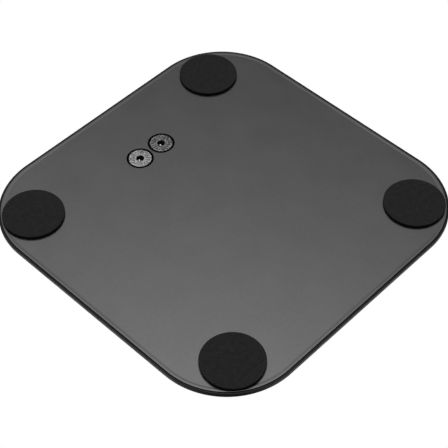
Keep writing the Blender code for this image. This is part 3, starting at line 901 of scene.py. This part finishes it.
def make_display(face, dark, faint):
    """The display's film, its unlit figures and a zero reading."""
    low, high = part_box("lcd_panel")
    middle = centre_of("lcd_panel")
    film_top = high.z + FILM_THICKNESS
    ink_top = film_top + INK_THICKNESS
    half_x = (high.x - low.x) / 2 - FILM_INSET
    half_y = (high.y - low.y) / 2 - FILM_INSET
    film = rounded_rectangle(half_x, half_y, FILM_CORNER_RADIUS, steps=3, centre=(middle.x, middle.y))
    shape = bmesh.new()
    bar(shape, film, high.z, film_top)
    piece("display_film", shape, face)
    lit = bmesh.new()
    unlit = bmesh.new()
    for digit in range(DIGITS):
        centre = Vector((middle.x + (digit - (DIGITS - 1) / 2) * DIGIT_PITCH, middle.y))
        for name, ends in SEGMENT_SIDES.items():
            shown = digit >= FIRST_LIT_DIGIT and name != "middle"
            bar(lit if shown else unlit, segment_outline(centre, ends), film_top, ink_top)
    dot = (middle.x + DIGIT_PITCH, middle.y - DIGIT_HEIGHT / 2)
    bar(lit, circle(DOT_RADIUS, dot, steps=16), film_top, ink_top)
    piece("display_reading", lit, dark)
    piece("display_unlit", unlit, faint)


def shading_group():
    """A node group for a modifier: it joins doubled points and smooths all but the sharp edges."""
    group = bpy.data.node_groups.new("smooth_shading", "GeometryNodeTree")
    group.interface.new_socket("Geometry", in_out="INPUT", socket_type="NodeSocketGeometry")
    group.interface.new_socket("Geometry", in_out="OUTPUT", socket_type="NodeSocketGeometry")
    start = group.nodes.new("NodeGroupInput")
    end = group.nodes.new("NodeGroupOutput")
    merge = group.nodes.new("GeometryNodeMergeByDistance")
    merge.inputs["Distance"].default_value = WELD_DISTANCE
    angle = group.nodes.new("GeometryNodeInputMeshEdgeAngle")
    sharp = group.nodes.new("FunctionNodeCompare")
    sharp.operation = "GREATER_THAN"
    sharp.inputs[1].default_value = SMOOTH_ANGLE
    normal = group.nodes.new("GeometryNodeSetMeshNormal")
    normal.mode = "SHARPNESS"
    links = group.links
    links.new(start.outputs[0], merge.inputs["Geometry"])
    links.new(merge.outputs[0], normal.inputs["Mesh"])
    links.new(angle.outputs["Unsigned Angle"], sharp.inputs[0])
    links.new(sharp.outputs[0], normal.inputs["Edge Sharpness"])
    links.new(normal.outputs[0], end.inputs[0])
    return group


def dress_frame(materials):
    """Gives each node its procedural material, and each one still shown soft edges and smooth shading."""
    group = shading_group()
    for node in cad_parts.values():
        node.material_slots[0].material = materials[node.material_slots[0].material.name]
        if node.hide_render:
            continue
        smooth = node.modifiers.new("smooth_shading", "NODES")
        smooth.node_group = group
        soft = node.modifiers.new("soft_edges", "BEVEL")
        soft.width = SOFT_EDGE
        soft.segments = 2
        soft.limit_method = "ANGLE"
        soft.angle_limit = SMOOTH_ANGLE
        weighted = node.modifiers.new("weighted_normals", "WEIGHTED_NORMAL")
        weighted.keep_sharp = True


# ---------------------------------------------------------------- stage


def make_camera():
    """The camera below, held upside down, so that the scale seems to lie on its back."""
    data = bpy.data.cameras.new("camera")
    data.lens = CAMERA_LENS_MM
    data.sensor_width = SENSOR_MM
    data.clip_start = CLIP_START
    data.clip_end = CLIP_END
    camera = bpy.data.objects.new("camera", data)
    camera.location = CAMERA_PLACE
    forward = (CAMERA_AIM - CAMERA_PLACE).normalized()
    right = forward.cross(Vector((0.0, 0.0, -1.0))).normalized()
    up = right.cross(forward)
    turned_right = right * math.cos(CAMERA_ROLL) + up * math.sin(CAMERA_ROLL)
    turned_up = turned_right.cross(forward)
    camera.rotation_mode = "QUATERNION"
    axes = Matrix((turned_right, turned_up, -forward)).transposed()
    camera.rotation_quaternion = axes.to_quaternion()
    bpy.context.scene.collection.objects.link(camera)
    bpy.context.scene.camera = camera


def make_lamp():
    """One large soft lamp above the scale, which the camera doesn't see."""
    data = bpy.data.lights.new("above_key", "AREA")
    data.shape = "DISK"
    data.size = LAMP_SIZE
    data.energy = LAMP_WATTS
    light = bpy.data.objects.new("above_key", data)
    light.location = LAMP_PLACE
    light.rotation_mode = "QUATERNION"
    light.rotation_quaternion = (LAMP_AIM - LAMP_PLACE).to_track_quat("-Z", "Y")
    light.visible_camera = False
    bpy.context.scene.collection.objects.link(light)


def make_world():
    """White behind the object; the light is an even glow with soft lobes from a few directions."""
    world = bpy.data.worlds.new("studio")
    world.use_nodes = True
    bpy.context.scene.world = world
    nodes = world.node_tree.nodes
    links = world.node_tree.links
    nodes.clear()
    direction = nodes.new("ShaderNodeTexCoord").outputs["Generated"]

    def step(operation, first, second):
        node = nodes.new("ShaderNodeMath")
        node.operation = operation
        for socket, value in zip(node.inputs, (first, second)):
            if isinstance(value, (int, float)):
                socket.default_value = value
            else:
                links.new(value, socket)
        return node.outputs[0]

    total = AMBIENT
    for towards, sharpness, strength in SKY_LOBES:
        along = nodes.new("ShaderNodeVectorMath")
        along.operation = "DOT_PRODUCT"
        along.inputs[1].default_value = Vector(towards).normalized()
        links.new(direction, along.inputs[0])
        facing = step("MAXIMUM", along.outputs["Value"], 0.0)
        lobe = step("MULTIPLY", step("POWER", facing, sharpness), strength)
        total = step("ADD", lobe, total)
    light = nodes.new("ShaderNodeBackground")
    links.new(total, light.inputs["Color"])
    seen = nodes.new("ShaderNodeBackground")
    seen.inputs["Color"].default_value = (1.0, 1.0, 1.0, 1.0)
    rays = nodes.new("ShaderNodeLightPath")
    choose = nodes.new("ShaderNodeMixShader")
    links.new(rays.outputs["Is Camera Ray"], choose.inputs["Fac"])
    links.new(light.outputs[0], choose.inputs[1])
    links.new(seen.outputs[0], choose.inputs[2])
    out = nodes.new("ShaderNodeOutputWorld")
    links.new(choose.outputs[0], out.inputs["Surface"])


def make_floor():
    """A pale floor just under the feet, seen from above and clear from below."""
    shape = bmesh.new()
    quarters = ((-1, -1), (1, -1), (1, 1), (-1, 1))
    corners = [shape.verts.new((x * FLOOR_HALF, y * FLOOR_HALF, -FLOOR_GAP)) for x, y in quarters]
    shape.faces.new(corners)
    mesh = bpy.data.meshes.new("floor")
    shape.to_mesh(mesh)
    shape.free()
    made = Surface("floor_paint", (0.80, 0.80, 0.79), roughness=0.7)
    made.colour(made.tone(made.spread(made.noise(size=0.4), 0.0, 1.0), dark=0.99, light=1.01))
    clear = made.add("ShaderNodeBsdfTransparent").outputs[0]
    behind = made.add("ShaderNodeNewGeometry").outputs["Backfacing"]
    choose = made.add("ShaderNodeMixShader")
    made.link(behind, choose.inputs["Fac"])
    made.link(made.shader.outputs[0], choose.inputs[1])
    made.link(clear, choose.inputs[2])
    made.link(choose.outputs[0], made.nodes["Material Output"].inputs["Surface"])
    mesh.materials.append(made.material)
    floor = bpy.data.objects.new("floor", mesh)
    floor.visible_shadow = False
    floor.visible_diffuse = False
    floor.visible_glossy = False
    floor.visible_transmission = False
    bpy.context.scene.collection.objects.link(floor)


# ---------------------------------------------------------------- all of it

FINISH = finishes()
make_pan(FINISH["pan_steel"])
make_edge_frame(FINISH["frame_plastic"])
make_glass(FINISH["platform_glass"])
make_back_print(plain("back_enamel", (0.003, 0.003, 0.0032), 0.5, Specular_IOR_Level=0.0))
for corner in CORNERS:
    make_pad(corner, FINISH["pad_rubber"])
# The left disc gets a darker, rougher, more mottled copy of the insert steel; its darker colour is painted
# shade
shaded_disc_steel = spun_metal("shaded_insert_steel", (0.162, 0.162, 0.162), roughness=0.42, mottle=0.7)
polished = plain("polished_steel", (0.80, 0.80, 0.79), 0.16, metallic=1.0, grain=0.0002, depth=0.000001)
for side in SIDES:
    # The right disc keeps the insert steel; the left disc's darker copy is painted shade
    make_insert(side, f"{side}_cap", FINISH["insert_steel"] if side == "right" else shaded_disc_steel)
    make_cap(side, f"{side}_cap", FINISH["black_plastic"])
    make_socket_rivet(side, f"{side}_cap", polished)
    make_seal(side, f"{side}_seal", FINISH["seal_rubber"])
    make_coin(side, f"{side}_coin", FINISH["cell_steel"])
make_display(
    display_layer("display_film", (0.34, 0.38, 0.31), 0.35),
    display_layer("display_ink", (0.012, 0.013, 0.014), 0.4),
    display_layer("display_ghost", (0.30, 0.335, 0.275), 0.35),
)
dress_frame(FINISH)

bpy.context.scene.view_settings.view_transform = "Standard"
make_camera()
make_world()
make_floor()
make_lamp()
